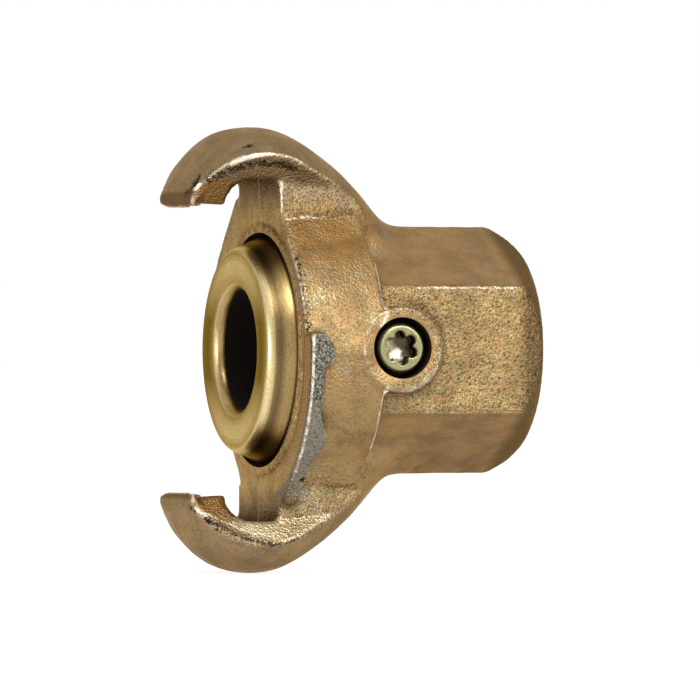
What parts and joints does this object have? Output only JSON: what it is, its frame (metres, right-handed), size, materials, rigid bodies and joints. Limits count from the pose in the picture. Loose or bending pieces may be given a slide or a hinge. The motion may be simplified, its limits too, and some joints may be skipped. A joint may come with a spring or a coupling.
{
  "type": "claw hose coupling",
  "caption": "Cast claw hose coupling with two hooked claws, sprung brass seal sleeve and hexagon with a female pipe thread.",
  "frame": {"origin": "centre of the female thread's mouth, on the coupling's axis", "axes": "+X along the coupling's axis, out of the thread's mouth and away from the claws; +Z towards one claw; -Y towards the retaining screw"},
  "size_m": [0.054, 0.048, 0.0674],
  "materials": {
    "casting": "yellow passivated casting",
    "sleeve": "satin turned",
    "seal": "matte black",
    "spring": "drawn wire",
    "screw": "yellow passivated"
  },
  "bodies": {
    "shell": {"coupling_body": "casting", "retaining_screw": "screw", "seal_spring": "spring"},
    "seal": {"seal_sleeve": "sleeve", "face_seal": "seal", "sleeve_o_ring": "seal"}
  },
  "joints": [
    {"name": "seal_slide", "type": "slide", "parent": "shell", "child": "seal", "axis": [1, 0, 0], "range_m": [0, 0.0025], "stiffness_N_per_m": 2000, "springref_m": -0.004, "deforming": ["seal_spring"]}
  ]
}
